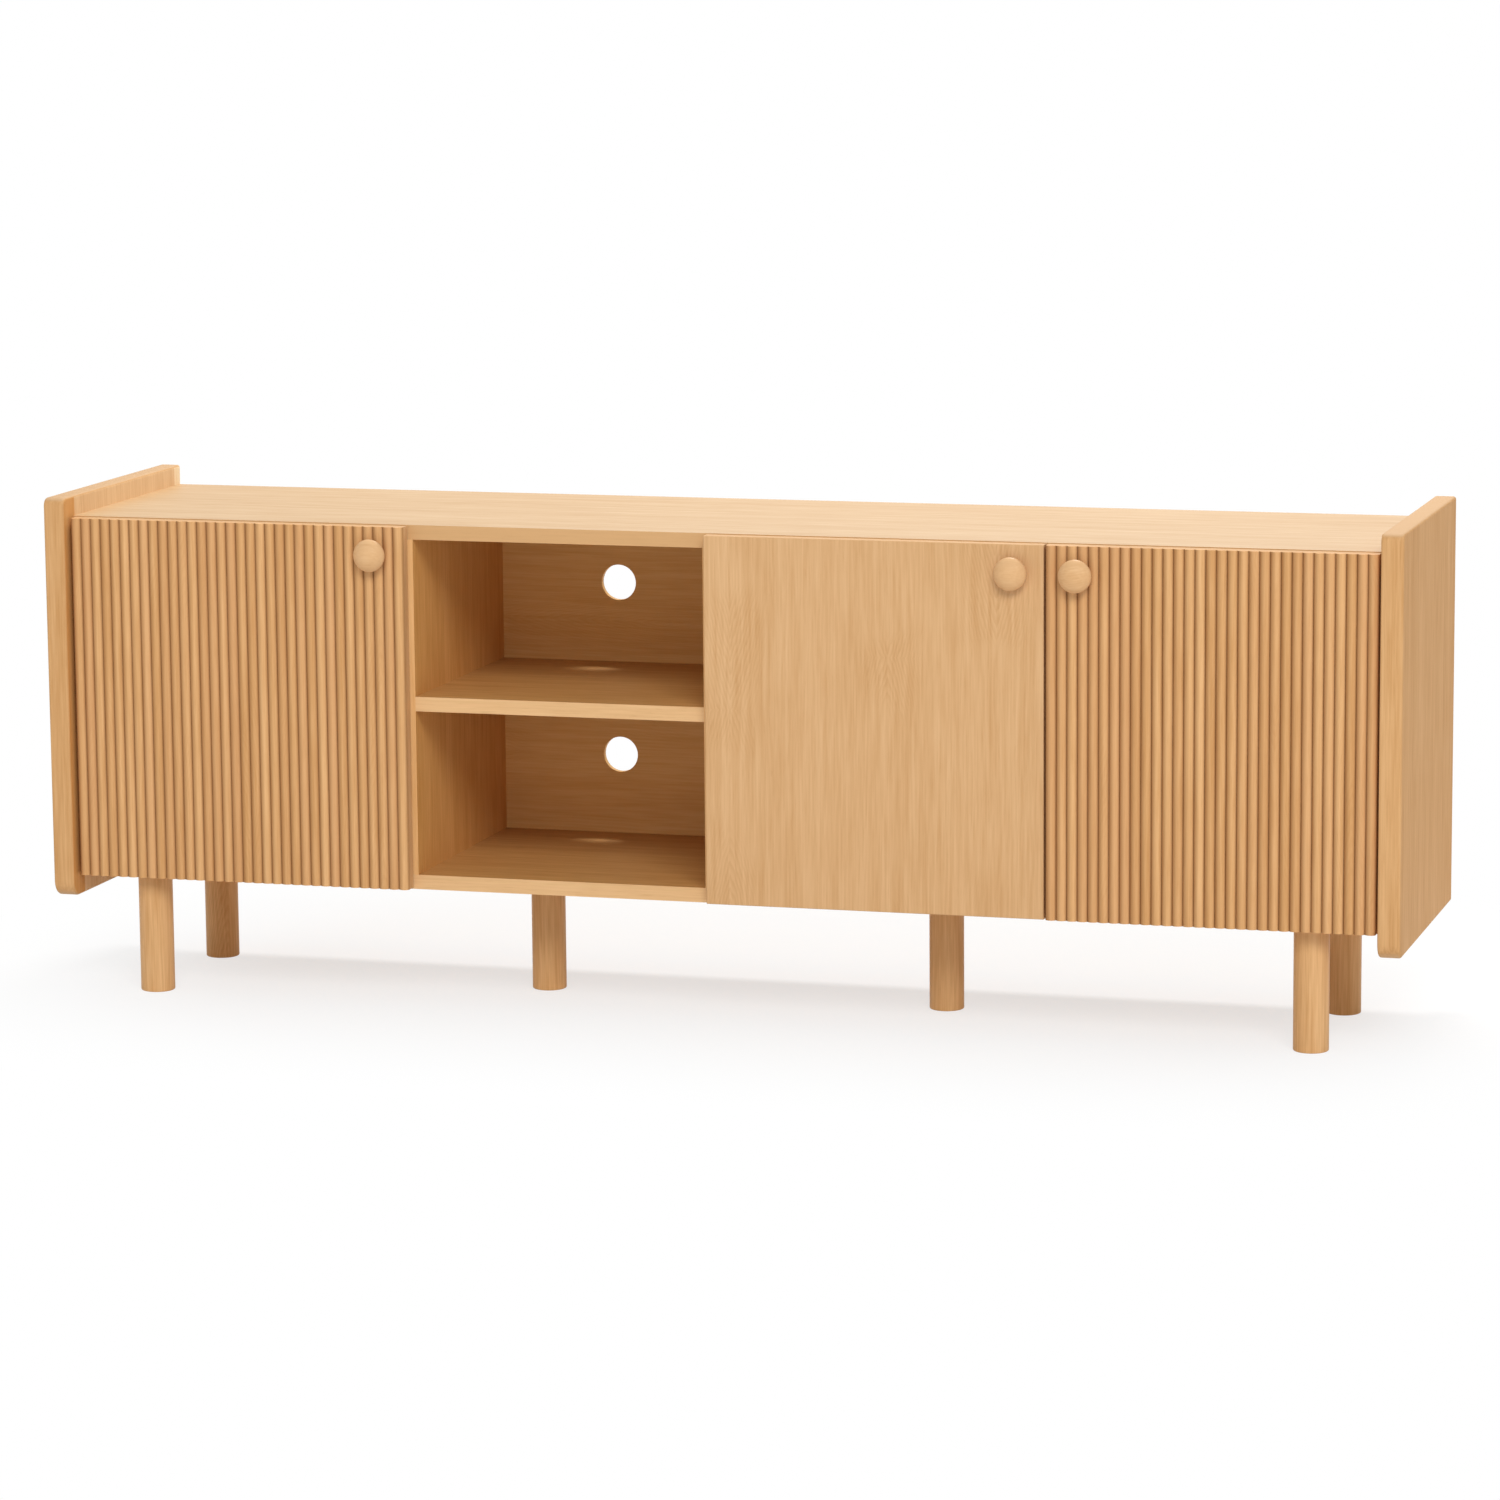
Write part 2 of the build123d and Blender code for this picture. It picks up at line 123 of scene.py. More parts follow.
class Value:
    """A socket whose number varies over a surface, with the arithmetic of Python."""

    def __init__(self, graph: "Graph", socket: bpy.types.NodeSocket) -> None:
        """Keeps the graph and the socket."""
        self.graph = graph
        self.socket = socket

    def math(self, operation: str, *terms: "Value | float") -> "Value":
        """Result of a Math node.

        Args:
            operation: The node's operation.
            terms: Values or numbers for its sockets, in order.

        Returns:
            The node's value.
        """
        return self.graph.value("ShaderNodeMath", {"operation": operation}, dict(enumerate(terms)))

    def __add__(self, other: "Value | float") -> "Value":
        """Sum."""
        return self.math("ADD", self, other)

    def __radd__(self, other: float) -> "Value":
        """Sum with a number first."""
        return self.math("ADD", other, self)

    def __sub__(self, other: "Value | float") -> "Value":
        """Difference."""
        return self.math("SUBTRACT", self, other)

    def __rsub__(self, other: float) -> "Value":
        """Difference from a number."""
        return self.math("SUBTRACT", other, self)

    def __mul__(self, other: "Value | float") -> "Value":
        """Product."""
        return self.math("MULTIPLY", self, other)

    def __rmul__(self, other: float) -> "Value":
        """Product with a number first."""
        return self.math("MULTIPLY", other, self)

    def __truediv__(self, other: "Value | float") -> "Value":
        """Quotient."""
        return self.math("DIVIDE", self, other)

    def __abs__(self) -> "Value":
        """Size without sign."""
        return self.math("ABSOLUTE", self)

    def floor(self) -> "Value":
        """Whole part."""
        return self.math("FLOOR", self)

    def part(self) -> "Value":
        """Part after the point."""
        return self.math("FRACT", self)

    def root(self) -> "Value":
        """Square root."""
        return self.math("SQRT", self)

    def step(self, low: float, high: float) -> "Value":
        """Smooth step from 0 at low to 1 at high.

        Args:
            low: Where the step starts.
            high: Where it ends.

        Returns:
            The stepped value.
        """
        settings = {"interpolation_type": "SMOOTHSTEP"}
        return self.graph.value("ShaderNodeMapRange", settings, {0: self, 1: low, 2: high, 3: 0.0, 4: 1.0})

    def past(self, line: float) -> "Value":
        """Zero before a line and one past it, with a narrow blur."""
        return self.step(line - SEAM, line + SEAM)


Feed = Value | float | tuple[float, ...]


class Graph:
    """Node tree of one material."""

    def __init__(self, name: str) -> None:
        """Starts an empty material of that name."""
        self.material = bpy.data.materials.new(name)
        self.material.use_nodes = True
        self.tree = self.material.node_tree
        self.tree.nodes.clear()

    def node(
        self, kind: str, settings: Mapping[str, object], inputs: Mapping[int | str, Feed]
    ) -> bpy.types.Node:
        """Adds a node.

        Args:
            kind: The node's type.
            settings: Its settings, set before its sockets.
            inputs: Values or links by socket name or number.

        Returns:
            The node.
        """
        made = self.tree.nodes.new(kind)
        for key, setting in settings.items():
            setattr(made, key, setting)
        for key, feed in inputs.items():
            if isinstance(feed, Value):
                self.tree.links.new(feed.socket, made.inputs[key])
            else:
                made.inputs[key].default_value = feed
        return made

    def value(
        self,
        kind: str,
        settings: Mapping[str, object],
        inputs: Mapping[int | str, Feed],
        output: int | str = 0,
    ) -> Value:
        """Adds a node and reads one of its outputs.

        Args:
            kind: The node's type.
            settings: Its settings.
            inputs: Values or links by socket.
            output: The output's name or number.

        Returns:
            The output.
        """
        return Value(self, self.node(kind, settings, inputs).outputs[output])

    def place(self) -> dict[Axis, Value]:
        """Object coordinates of the surface, in metres."""
        spot = self.value("ShaderNodeTexCoord", {}, {}, "Object")
        split = self.node("ShaderNodeSeparateXYZ", {}, {0: spot})
        return {axis: Value(self, split.outputs[axis.value]) for axis in Axis}

    def facing(self, axis: Axis) -> Value:
        """How squarely the surface faces along an axis of its piece, from 0 to 1."""
        turn = self.value("ShaderNodeTexCoord", {}, {}, "Normal")
        split = self.node("ShaderNodeSeparateXYZ", {}, {0: turn})
        return abs(Value(self, split.outputs[axis.value]))

    def square(self, axis: Axis) -> Value:
        """One where the surface is square to an axis of its piece, and zero where it lies along it."""
        return self.facing(axis).step(*SQUARE)

    def vector(self, x: Feed, y: Feed, z: Feed) -> Value:
        """A vector of three numbers."""
        return self.value("ShaderNodeCombineXYZ", {}, {0: x, 1: y, 2: z})

    def noise(self, spot: Value, detail: float = 2.0, roughness: float = 0.5) -> Value:
        """Soft noise about 0.5 at a spot already scaled to its grain.

        Args:
            spot: The scaled place.
            detail: Octaves of finer noise.
            roughness: How strong they are.

        Returns:
            The noise.
        """
        inputs = {"Vector": spot, "Scale": 1.0, "Detail": detail, "Roughness": roughness}
        return self.value("ShaderNodeTexNoise", {}, inputs)

    def cloud(
        self, spot: Mapping[Axis, Value], rate: float, detail: float, roughness: float = 0.5
    ) -> Value:
        """Soft noise of the same size in every direction.

        Args:
            spot: Place on the piece.
            rate: Changes in a metre.
            detail: Octaves of finer noise.
            roughness: How strong they are.

        Returns:
            The noise.
        """
        return self.noise(self.vector(*(spot[axis] * rate for axis in Axis)), detail, roughness)

    def chance(self, index: Value) -> tuple[Value, Value, Value]:
        """Three fixed random numbers for each whole number.

        Args:
            index: The whole number.

        Returns:
            Numbers from 0 to 1.
        """
        dice = self.value("ShaderNodeTexWhiteNoise", {"noise_dimensions": "1D"}, {"W": index}, "Color")
        split = self.node("ShaderNodeSeparateColor", {}, {0: dice})
        return tuple(Value(self, split.outputs[i]) for i in range(3))

    def mix(self, share: Feed, first: Feed, second: Feed) -> Value:
        """Mixes two colours.

        Args:
            share: Share of the second colour.
            first: First colour.
            second: Second colour.

        Returns:
            The mixed colour.
        """
        return self.value("ShaderNodeMix", {"data_type": "RGBA"}, {0: share, 6: first, 7: second}, 2)

    def bump(self, height: Value, strength: float, distance: float) -> Value:
        """Normal of a surface with a fine relief.

        Args:
            height: The relief.
            strength: How much of it shows.
            distance: Its depth in metres.

        Returns:
            The normal.
        """
        return self.value(
            "ShaderNodeBump", {}, {"Height": height, "Strength": strength, "Distance": distance}, "Normal"
        )

    def seen(self) -> Value:
        """One where a ray comes from the camera, a reflection or a clear piece."""
        rays = self.node("ShaderNodeLightPath", {}, {})
        camera, glossy, through = (
            Value(self, rays.outputs[name])
            for name in ("Is Camera Ray", "Is Glossy Ray", "Is Transmission Ray")
        )
        return camera.math("MAXIMUM", camera, glossy.math("MAXIMUM", glossy, through))

    def surface(self, inputs: Mapping[int | str, Feed]) -> bpy.types.Material:
        """Closes the material with a principled shader.

        Args:
            inputs: Values or links of the shader's sockets.

        Returns:
            The finished material.
        """
        self.close(self.value("ShaderNodeBsdfPrincipled", {}, inputs))
        return self.material

    def close(self, shader: Value) -> None:
        """Links a shader to the material's output."""
        self.node("ShaderNodeOutputMaterial", {}, {0: shader})


@dataclass(frozen=True)
class Lie:
    """Lie of the grain at a place: along the fibres, across them on the main face, and into the wood."""

    along: Value
    across: Value
    depth: Value


@dataclass(frozen=True)
class Streak:
    """Noise drawn out along the fibres, given by its changes in a metre across and along them."""

    across: float
    along: float
    detail: float = 2.0
    weight: float = 1.0

    def over(self, graph: Graph, lie: Lie) -> Value:
        """The noise over a piece, about 0.

        Args:
            graph: The material's nodes.
            lie: Lie of the grain.

        Returns:
            The noise.
        """
        scaled = graph.vector(lie.across * self.across, lie.depth * self.across, lie.along * self.along)
        return graph.noise(scaled, self.detail) - 0.5


WANDER = Streak(7.0, 2.2, detail=1.0)
RAGGED = Streak(160.0, 26.0)
PATCHES = Streak(6.0, 6.0, detail=1.0)
BROAD = Streak(42.0, 2.0, weight=0.6)
MIDDLE = Streak(150.0, 6.0, weight=0.6)
FINE = Streak(430.0, 16.0, weight=0.9)
DASHES = Streak(1500.0, 45.0, detail=1.0)


@dataclass(frozen=True)
class Arches:
    """Arched figure of flat-sawn veneer, leaf by leaf. Lengths are in metres.

    The heart of a leaf and the tip of an arch lie at a random share of the leaf's width and the arch's
    length: a least share and the spread on top of it.
    """

    leaf: float = 0.17
    ring: float = 4.8 * MM
    length: float = 0.94
    slope: float = 0.27
    blunt: float = 5.0 * MM
    heart: tuple[float, float] = (0.3, 0.4)
    tip: tuple[float, float] = (0.35, 0.3)
    broad: float = 3.0
    bowed: float = 0.5
    steep: float = 0.9
    wander: float = 4.0
    ragged: float = 1.5
    late: tuple[float, float, float] = (0.1, 0.8, 1.0)
    patchy: tuple[float, float] = (-0.02, 0.12)
    width: tuple[float, float] = (0.08, 0.34)

    def over(self, graph: Graph, lie: Lie, wander: Value, seed: float) -> tuple[Value, Value]:
        """Late wood of the arches over a piece.

        Args:
            graph: The material's nodes.
            lie: Lie of the grain.
            wander: How the fibres wander from a straight line.
            seed: Which leaves the piece is cut from.

        Returns:
            The mask of the late wood, and a random number for each leaf.
        """
        first, second, third = graph.chance((lie.across / self.leaf).floor() + seed)
        share = abs((lie.across / self.leaf).part() - self.heart[0] - second * self.heart[1])
        climb = abs((lie.along / self.length + first).part() - self.tip[0] - third * self.tip[1])
        off = share * self.leaf
        rise = climb * self.slope + self.blunt
        bow = (off * off * self.broad + rise * rise).root()
        arch = (bow + rise) * self.bowed + off * self.steep
        ragged = RAGGED.over(graph, lie)
        rings = (arch / self.ring + wander * self.wander + ragged * self.ragged).part()
        start, crest, end = self.late
        late = rings.step(start, crest) * (1.0 - rings.step(crest, end))
        patches = PATCHES.over(graph, lie).step(*self.patchy)
        return late * patches * (1.0 - share.step(*self.width)), first


@dataclass(frozen=True)
class Oak:
    """Satin oak: veneer leaves with fine fibres, a faint arched figure and short pores.

    Boards may have a banding of another colour on their edges. Lengths are in metres.
    """

    name: str
    grain: Axis
    face: Axis
    light: Colour
    dark: Colour
    arches: Arches = Arches()
    figure: float = 0.20
    fibre: float = 0.70
    pores: float = 0.30
    seed: float = 0.0
    roughness: float = 0.58
    sheen: float = 0.12
    banding: float = 0.0
    band: Colour = tint(238, 196, 146)
    band_grain: float = 0.5
    drift: float = 12.0 * MM
    leaf_spread: float = 0.10
    pore_dash: tuple[float, float] = (0.10, 0.24)
    pore_streak: tuple[float, float] = (0.12, -0.10)
    end_grain: tuple[float, float] = (0.4, 0.9)
    end_calm: float = 0.75
    uneven: float = 0.10
    fibre_relief: float = 0.4
    relief: float = 0.2 * MM
    relief_share: float = 0.25
    cut_apart: float = 1.37

    def across(self) -> Axis:
        """Axis across the fibres on the main face."""
        return next(axis for axis in Axis if axis not in (self.grain, self.face))

    def tone(self, graph: Graph, lie: Lie) -> tuple[Value, Value]:
        """Tone of the wood from 0, dark, to 1, light, and its pores.

        Args:
            graph: The material's nodes.
            lie: Lie of the grain.

        Returns:
            The tone and the mask of the pores.
        """
        wander = WANDER.over(graph, lie)
        lie = replace(lie, across=lie.across + wander * self.drift)
        late, leaf = self.arches.over(graph, lie, wander, self.seed)
        broad, middle, fine = (streak.over(graph, lie) for streak in (BROAD, MIDDLE, FINE))
        fibres = broad * BROAD.weight + middle * MIDDLE.weight + fine * FINE.weight
        calm = 1.0 - graph.facing(self.grain).step(*self.end_grain) * self.end_calm
        tone = 0.5 + fibres * calm * self.fibre + (leaf - 0.5) * self.leaf_spread
        tone = tone - late * graph.square(self.face) * self.figure
        pores = DASHES.over(graph, lie).step(*self.pore_dash) * fine.step(*self.pore_streak)
        return tone, pores

    def dress(self, graph: Graph, tone: Value, pores: Value, colour: Value) -> bpy.types.Material:
        """Closes the material: pores, sheen and relief over a coloured ground.

        Args:
            graph: The material's nodes.
            tone: Tone of the wood.
            pores: Mask of the pores.
            colour: Ground colour.

        Returns:
            The finished material.
        """
        pored = graph.mix(pores * self.pores, colour, self.dark)
        rough = (1.0 - tone + pores) * self.uneven + (self.roughness - self.uneven / 2)
        normal = graph.bump(tone * self.fibre_relief - pores, self.relief_share, self.relief)
        return graph.surface(
            {"Base Color": pored, "Roughness": rough, "Normal": normal, "Specular IOR Level": self.sheen}
        )

    def ground(self, graph: Graph, spot: Mapping[Axis, Value]) -> tuple[Value, Value, Value]:
        """Tone, pores and ground colour of the wood.

        Args:
            graph: The material's nodes.
            spot: Place on the piece.

        Returns:
            The tone, the mask of the pores and the colour.
        """
        shift = self.seed * self.cut_apart
        lie = Lie(*(spot[axis] + shift for axis in (self.grain, self.across(), self.face)))
        tone, pores = self.tone(graph, lie)
        return tone, pores, graph.mix(tone.step(*TONES), self.dark, self.light)

    def material(self) -> bpy.types.Material:
        """The finished material."""
        graph = Graph(self.name)
        tone, pores, colour = self.ground(graph, graph.place())
        if self.banding:
            edge = (1.0 - graph.square(self.face)) * self.banding
            share = 1.0 - self.band_grain + tone * self.band_grain
            colour = graph.mix(edge * share, colour, self.band)
        return self.dress(graph, tone, pores, colour)


@dataclass(frozen=True)
class LippedOak(Oak):
    """Side panel: inside, a pale veneer between a deeper lipping in front and a paler one behind.

    The sawn ends above and below are duller. A share is how much of a colour shows.
    """

    inside: float = 0.0
    skin: tuple[float, float] = (0.1 * MM, 0.6 * MM)
    front: float = 0.0
    rear: float = 0.0
    veneer: Colour = tint(244, 214, 172)
    veneer_share: float = 0.27
    veneer_grain: float = 0.3
    lipping: Colour = tint(250, 226, 186)
    lipping_share: float = 0.6
    heart: Colour = tint(206, 140, 66)
    heart_share: float = 0.55
    sawn: Colour = tint(212, 180, 144)
    sawn_share: float = 0.6

    def material(self) -> bpy.types.Material:
        """The finished material."""
        graph = Graph(self.name)
        spot = graph.place()
        tone, pores, colour = self.ground(graph, spot)
        inner = 1.0 - (abs(spot[Axis.X]) - self.inside).step(*self.skin)
        board = inner * spot[Axis.Y].past(self.front)
        behind = board * spot[Axis.Y].past(self.rear)
        colour = graph.mix((inner - board) * self.heart_share, colour, self.heart)
        colour = graph.mix(graph.square(Axis.Z) * self.sawn_share, colour, self.sawn)
        colour = graph.mix(board * (self.veneer_share + tone * self.veneer_grain), colour, self.veneer)
        colour = graph.mix(behind * self.lipping_share, colour, self.lipping)
        return self.dress(graph, tone, pores, colour)


@dataclass(frozen=True)
class BackedOak(Oak):
    """Back panel: a pale veneer towards the bays and a plain darker one behind."""

    rear: float = 0.0
    plain: Colour = tint(190, 146, 94)
    plain_share: float = 0.95
    plain_grain: float = 0.3

    def material(self) -> bpy.types.Material:
        """The finished material."""
        graph = Graph(self.name)
        spot = graph.place()
        tone, pores, colour = self.ground(graph, spot)
        behind = spot[Axis.Y].past(self.rear)
        colour = graph.mix(behind * (self.plain_share - tone * self.plain_grain), colour, self.plain)
        return self.dress(graph, tone, pores, colour)


@dataclass(frozen=True)
class ReededOak(Oak):
    """Oak reeds cut from different boards: each has its own tone, with painted shade on the left flank and
    in the groove of each reed.
    """

    left: float = 0.0
    pitch: float = 12.8 * MM
    crown: float = 0.0
    rise: float = 4.0 * MM
    board_length: float = 9.0
    spread: float = 0.22
    rosy: Colour = tint(214, 160, 112)
    rosy_share: float = 0.4
    rosy_span: tuple[float, float] = (0.35, 1.0)
    # Painted shade: dark brown laid over the left flank and into the groove of each reed, where shade
    # falls.
    painted_shade: Colour = tint(122, 74, 32)
    groove_shade_share: float = 0.36
    groove_shade_span: tuple[float, float] = (0.35, 0.95)
    flank_shade_share: float = 0.47
    flank_shade_span: tuple[float, float] = (0.05, 0.66)

    def material(self) -> bpy.types.Material:
        """The finished material."""
        graph = Graph(self.name)
        spot = graph.place()
        reed = (spot[Axis.X] - self.left) / self.pitch
        first, second, third = graph.chance(reed.floor() + self.seed)
        along = spot[Axis.Z] + first * self.board_length
        tone, pores = self.tone(graph, Lie(along, spot[Axis.X] + second, spot[Axis.Y] + second))
        tone = tone + (third - 0.5) * self.spread
        colour = graph.mix(tone.step(*TONES), self.dark, self.light)
        colour = graph.mix(second.step(*self.rosy_span) * self.rosy_share, colour, self.rosy)
        # Painted shade: darker into each groove and over each reed's left flank, but not on the sawn ends.
        depth = ((spot[Axis.Y] - self.crown) / self.rise).step(*self.groove_shade_span)
        flank_shade = 1.0 - reed.part().step(*self.flank_shade_span)
        shade = (flank_shade * self.flank_shade_share + depth * self.groove_shade_share) * (1.0 - graph.square(Axis.Z))
        colour = graph.mix(shade, colour, self.painted_shade)
        return self.dress(graph, tone, pores, colour)


@dataclass(frozen=True)
class PlatedSteel:
    """Pressed steel with a plated skin: faint spangle and fine drawing lines."""

    name: str
    light: Colour
    dark: Colour
    roughness: float
    spangle: float = 260.0
    spangle_span: tuple[float, float] = (0.3, 0.7)
    spangle_rough: float = 0.16
    drawing: tuple[float, float, float] = (900.0, 60.0, 900.0)
    drawing_rough: float = 0.08
    relief: float = 0.1 * MM
    relief_share: float = 0.12

    def material(self) -> bpy.types.Material:
        """The finished material."""
        graph = Graph(self.name)
        spot = graph.place()
        cells = graph.cloud(spot, self.spangle, detail=3.0, roughness=0.6)
        drawn = (spot[axis] * rate for axis, rate in zip(Axis, self.drawing))
        lines = graph.noise(graph.vector(*drawn))
        rough = (cells - 0.5) * self.spangle_rough + (lines - 0.5) * self.drawing_rough + self.roughness
        return graph.surface(
            {
                "Base Color": graph.mix(cells.step(*self.spangle_span), self.dark, self.light),
                "Metallic": 1.0,
                "Roughness": rough,
                "Normal": graph.bump(lines, self.relief_share, self.relief),
            }
        )


@dataclass(frozen=True)
class SoftPlastic:
    """Clear soft plastic of the door bumpers, slightly cloudy."""

    name: str
    light: Colour
    dark: Colour
    mottle: float = 700.0
    roughness: float = 0.15
    uneven: float = 0.2
    clearness: float = 0.7
    refraction: float = 1.46

    def material(self) -> bpy.types.Material:
        """The finished material."""
        graph = Graph(self.name)
        cloud = graph.cloud(graph.place(), self.mottle, detail=2.0)
        return graph.surface(
            {
                "Base Color": graph.mix(cloud, self.dark, self.light),
                "Roughness": cloud * self.uneven + self.roughness,
                "Transmission Weight": self.clearness,
                "IOR": self.refraction,
            }
        )


TOP = Oak(
    "oak_top",
    Axis.X,
    Axis.Z,
    tint(221, 190, 148),
    tint(191, 150, 101),
    seed=3.0,
    figure=0.08,
    sheen=0.25,
    roughness=0.48,
    banding=1.0,
    band=tint(214, 166, 112),
)
BOARDS = Oak(
    "oak_boards",
    Axis.X,
    Axis.Z,
    tint(214, 166, 106),
    tint(178, 126, 66),
    seed=11.0,
    figure=0.12,
    banding=1.0,
)
SIDES = LippedOak(
    "oak_side",
    Axis.Z,
    Axis.X,
    tint(230, 185, 133),
    tint(193, 141, 86),
    seed=5.0,
    sheen=0.05,
    figure=0.10,
)
UPRIGHTS = Oak(
    "oak_divider",
    Axis.Z,
    Axis.X,
    tint(242, 190, 123),
    tint(204, 144, 71),
    seed=8.0,
    figure=0.10,
    banding=0.6,
)
# The divider behind the meeting gap of the doors has dark brown edges: a painted shade that stands for the
# shadow in the gap.
GAP_SHADED_UPRIGHTS = replace(UPRIGHTS, name="oak_divider_gap_shade", banding=1.0, band=tint(92, 58, 30))
BACKS = BackedOak(
    "oak_back",
    Axis.X,
    Axis.Y,
    tint(253, 209, 142),
    tint(235, 182, 109),
    seed=14.0,
    fibre=1.0,
)
FRONTS = Oak(
    "oak_front",
    Axis.Z,
    Axis.Y,
    tint(229, 188, 141),
    tint(196, 147, 94),
    seed=21.0,
    figure=0.15,
    fibre=0.62,
    arches=Arches(ring=4.6 * MM),
)
REEDS = ReededOak("oak_reeds", Axis.Z, Axis.Y, tint(237, 189, 134), tint(202, 149, 93), figure=0.08)
TURNED = Oak(
    "oak_turned",
    Axis.Z,
    Axis.Y,
    tint(236, 192, 140),
    tint(202, 149, 92),
    seed=27.0,
    fibre=0.9,
    roughness=0.45,
)
KNOBBED = Oak(
    "oak_knob",
    Axis.X,
    Axis.Y,
    tint(234, 193, 145),
    tint(211, 162, 110),
    seed=31.0,
    fibre=0.5,
    roughness=0.42,
)
BEECH = Oak(
    "beech_tenon",
    Axis.X,
    Axis.Y,
    tint(226, 190, 150),
    tint(196, 152, 110),
    seed=35.0,
    figure=0.05,
)
ZINC = PlatedSteel("zinc_steel", tint(196, 198, 196), tint(160, 163, 164), 0.42)
NICKEL = PlatedSteel("nickel_steel", tint(214, 210, 202), tint(186, 182, 174), 0.30, 180.0)
BUMPER = SoftPlastic("clear_bumper", tint(244, 244, 240), tint(222, 224, 220))

Finish = Oak | PlatedSteel | SoftPlastic


class Bench:
    """Modelling steps done with Blender's operators."""

    UP = Vector((0, 0, 1))
    FORWARD = Vector((0, -1, 0))
    RIGHT = Vector((1, 0, 0))
    MERGED = 0.001 * MM

    @staticmethod
    def clear() -> None:
        """Leaves edit mode and deselects everything."""
        if bpy.context.mode != "OBJECT":
            bpy.ops.object.mode_set(mode="OBJECT")
        bpy.ops.object.select_all(action="DESELECT")

    @staticmethod
    def take(piece: bpy.types.Object) -> None:
        """Makes a piece the only one selected, and active."""
        Bench.clear()
        piece.select_set(True)
        bpy.context.view_layer.objects.active = piece

    @staticmethod
    def block(name: str, low: Vector, high: Vector) -> bpy.types.Object:
        """A block between two corners, as a start.

        Args:
            name: The piece's name.
            low: Lowest corner.
            high: Highest corner.

        Returns:
            The block.
        """
        Bench.clear()
        bpy.ops.mesh.primitive_cube_add(size=1.0, location=(low + high) / 2, scale=high - low)
        return Bench.settle(name)

    @staticmethod
    def settle(name: str) -> bpy.types.Object:
        """Names the active object and puts its place and size into its mesh.

        Args:
            name: The piece's name.

        Returns:
            The piece.
        """
        made = bpy.context.object
        made.name = made.data.name = name
        bpy.ops.object.transform_apply(location=True, rotation=True, scale=True)
        return made

    @staticmethod
    def pick_edges(piece: bpy.types.Object, test: Callable[[Vector, Vector], bool]) -> None:
        """Enters edit mode with only some edges selected.

        Args:
            piece: The piece.
            test: Tells from an edge's two ends whether it is wanted.
        """
        Bench.take(piece)
        bpy.ops.object.mode_set(mode="EDIT")
        bpy.ops.mesh.select_mode(type="EDGE")
        bpy.ops.mesh.select_all(action="DESELECT")
        shape = bmesh.from_edit_mesh(piece.data)
        for edge in shape.edges:
            edge.select_set(test(edge.verts[0].co, edge.verts[1].co))
        bmesh.update_edit_mesh(piece.data)

    @staticmethod
    def pick_faces(piece: bpy.types.Object, test: Callable[[Vector, Vector], bool]) -> None:
        """Enters edit mode with only some faces selected.

        Args:
            piece: The piece.
            test: Tells from a face's middle and normal whether it is wanted.
        """
        Bench.take(piece)
        bpy.ops.object.mode_set(mode="EDIT")
        bpy.ops.mesh.select_mode(type="FACE")
        bpy.ops.mesh.select_all(action="DESELECT")
        shape = bmesh.from_edit_mesh(piece.data)
        for face in shape.faces:
            face.select_set(test(face.calc_center_median(), face.normal))
        bmesh.update_edit_mesh(piece.data)

    @staticmethod
    def round_edges(
        piece: bpy.types.Object, radius: float, steps: int, test: Callable[[Vector, Vector], bool]
    ) -> None:
        """Rounds some edges of a piece.

        Args:
            piece: The piece.
            radius: Radius of the round.
            steps: Faces across it.
            test: Tells from an edge's two ends whether it is wanted.
        """
        Bench.pick_edges(piece, test)
        bpy.ops.mesh.bevel(offset=radius, segments=steps, affect="EDGES", clamp_overlap=False)
        Bench.clear()

    @staticmethod
    def turn(
        name: str,
        profile: Sequence[tuple[float, float]],
        foot: Vector,
        axis: Vector,
        steps: int,
    ) -> bpy.types.Object:
        """Turns a piece: draws its profile from one vertex and spins it.

        Args:
            name: The piece's name.
            profile: Radius and height of each point, from the foot up.
            foot: Point on the axis that heights are measured from.
            axis: Direction of the axis, square to x.
            steps: Faces round the piece.

        Returns:
            The turned piece.
        """
        points = [foot + Bench.RIGHT * radius + axis * height for radius, height in profile]
        Bench.clear()
        bpy.ops.mesh.primitive_plane_add(size=MM, location=points[0])
        made = Bench.settle(name)
        bpy.ops.object.mode_set(mode="EDIT")
        bpy.ops.mesh.select_mode(type="VERT")
        bpy.ops.mesh.select_all(action="SELECT")
        bpy.ops.mesh.merge(type="CENTER")
        for last, point in zip(points, points[1:]):
            bpy.ops.mesh.extrude_vertices_move(TRANSFORM_OT_translate={"value": point - last})
        bpy.ops.mesh.select_all(action="SELECT")
        bpy.ops.mesh.spin(steps=steps, angle=math.tau, center=foot, axis=axis)
        bpy.ops.mesh.select_all(action="SELECT")
        bpy.ops.mesh.remove_doubles(threshold=Bench.MERGED)
        bpy.ops.mesh.normals_make_consistent(inside=False)
        Bench.clear()
        return made

    @staticmethod
    def cut(piece: bpy.types.Object, tool: bpy.types.Object) -> None:
        """Takes a tool's shape out of a piece, and the tool away.

        Args:
            piece: The piece.
            tool: The shape to take out.
        """
        Bench.take(piece)
        change = piece.modifiers.new("cut", "BOOLEAN")
        change.object = tool
        change.operation = "DIFFERENCE"
        bpy.ops.object.modifier_apply(modifier=change.name)
        bpy.data.objects.remove(tool)

    @staticmethod
    def copy(piece: bpy.types.Object, name: str, move: Matrix) -> bpy.types.Object:
        """Copies a piece with a mesh of its own.

        Args:
            piece: The piece.
            name: The copy's name.
            move: Where the copy's mesh goes.

        Returns:
            The copy.
        """
        made = piece.copy()
        made.data = piece.data.copy()
        made.name = made.data.name = name
        made.data.transform(move)
        bpy.context.scene.collection.objects.link(made)
        return made

